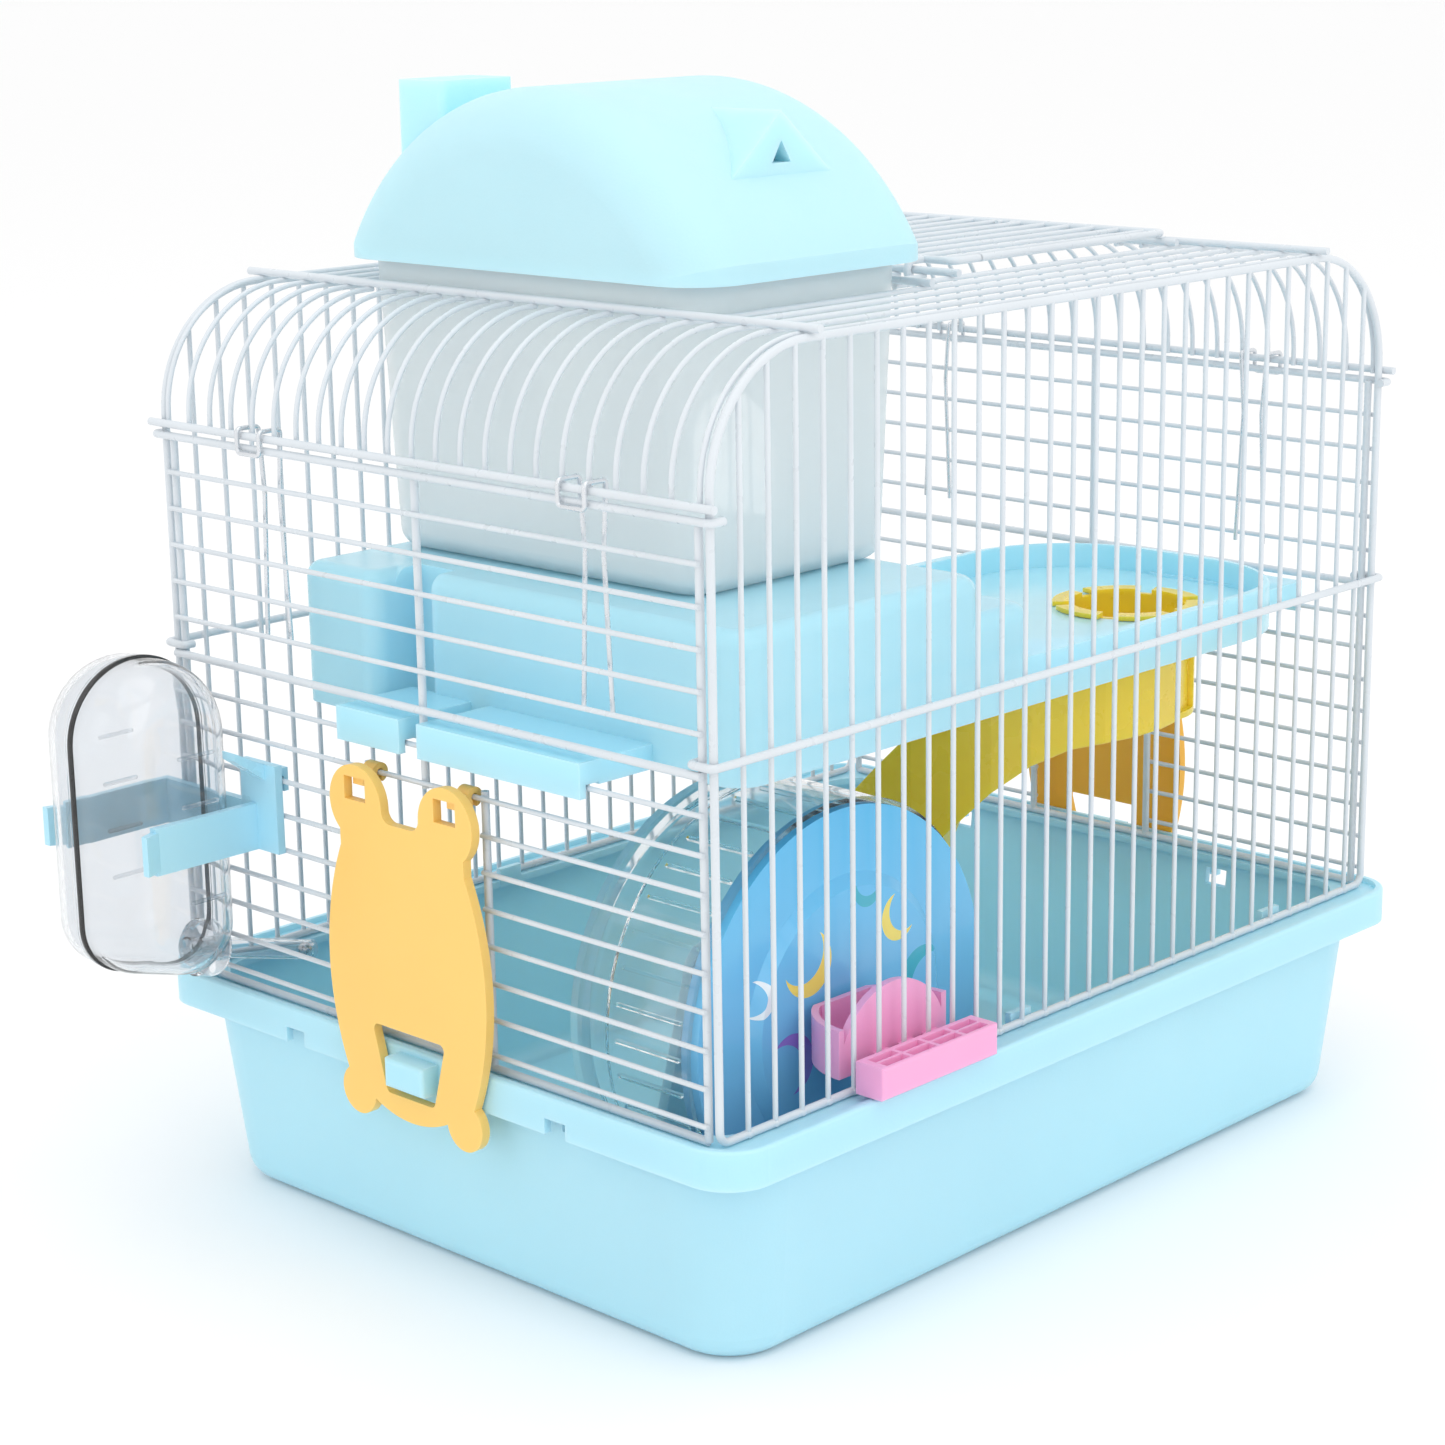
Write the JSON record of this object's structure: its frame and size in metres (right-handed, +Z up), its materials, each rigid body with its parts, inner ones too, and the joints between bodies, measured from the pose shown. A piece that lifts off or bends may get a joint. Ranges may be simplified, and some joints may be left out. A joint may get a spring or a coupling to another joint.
{
  "type": "hamster cage",
  "caption": "Wire hamster cage on a deep tray, with doors, roof hatch, lift-out hut, second floor, spiral slide, running wheel, food dish and drinking bottle.",
  "frame": {"origin": "middle of the tray's underside", "axes": "+X along the cage from the bottle end to the far end, +Y from the front long side to the back, +Z up"},
  "size_m": [0.319, 0.2116, 0.2877],
  "materials": {
    "blue_plastic": "satin",
    "floor_plastic": "gloss",
    "lid_plastic": "matte",
    "frosted_plastic": "frosted, translucent",
    "clear_plastic": "clear, gloss",
    "wire_paint": "white powder coat",
    "slide_yellow": "satin",
    "door_yellow": "satin",
    "door_orange": "satin",
    "dish_pink": "satin",
    "wheel_blue": "gloss",
    "pin_steel": "satin"
  },
  "bodies": {
    "cage": {"tray": "blue_plastic", "side_panel_front": "wire_paint", "side_panel_back": "wire_paint", "end_panel_near": "wire_paint", "end_panel_far": "wire_paint", "roof_panel": "wire_paint", "roof_curve_near": "wire_paint", "roof_curve_far": "wire_paint", "spring_clips": "wire_paint", "second_floor": "floor_plastic", "slide": "slide_yellow", "wheel_stand": "blue_plastic", "wheel_axle": "pin_steel", "bottle_holder": "blue_plastic"},
    "hatch": {"roof_hatch": "wire_paint"},
    "hut": {"hut_body": "frosted_plastic"},
    "lid": {"hut_lid": "lid_plastic"},
    "wheel": {"wheel_disc": "wheel_blue", "wheel_drum": "clear_plastic", "wheel_cap": "wheel_blue"},
    "dish": {"food_dish": "dish_pink"},
    "bottle": {"bottle_half_front": "clear_plastic", "bottle_half_back": "clear_plastic", "bottle_cap": "clear_plastic", "bottle_nozzle": "clear_plastic"},
    "ball": {"nozzle_ball": "pin_steel"},
    "door_near": {"near_door": "door_yellow"},
    "door_far": {"far_door": "door_orange"}
  },
  "joints": [
    {"name": "wheel_spin", "type": "hinge", "parent": "cage", "child": "wheel", "pos_m": [-0.06, 0, 0.066], "axis": [0, 1, 0], "continuous": true},
    {"name": "near_door_swing", "type": "hinge", "parent": "cage", "child": "door_near", "pos_m": [-0.1322, 0, 0.12641], "axis": [0, 1, 0], "range_deg": [0, 40]},
    {"name": "far_door_swing", "type": "hinge", "parent": "cage", "child": "door_far", "pos_m": [0.1322, 0, 0.12641], "axis": [0, -1, 0], "range_deg": [0, 70]},
    {"name": "hatch_swing", "type": "hinge", "parent": "cage", "child": "hatch", "pos_m": [0.003, 0, 0.2387], "axis": [0, -1, 0], "range_deg": [0, 100]},
    {"name": "hut_lift", "type": "slide", "parent": "cage", "child": "hut", "axis": [0, 0, 1], "range_m": [0, 0.07]},
    {"name": "lid_lift", "type": "slide", "parent": "hut", "child": "lid", "axis": [0, 0, 1], "range_m": [0, 0.03]},
    {"name": "dish_slide", "type": "slide", "parent": "cage", "child": "dish", "axis": [0, 0, 1], "range_m": [0, 0.05]},
    {"name": "bottle_pull", "type": "slide", "parent": "cage", "child": "bottle", "axis": [-0.9659, 0, 0.2588], "range_m": [0, 0.045]},
    {"name": "ball_travel", "type": "slide", "parent": "bottle", "child": "ball", "axis": [-0.9659, 0, 0.2588], "range_m": [0, 0.0015]}
  ]
}
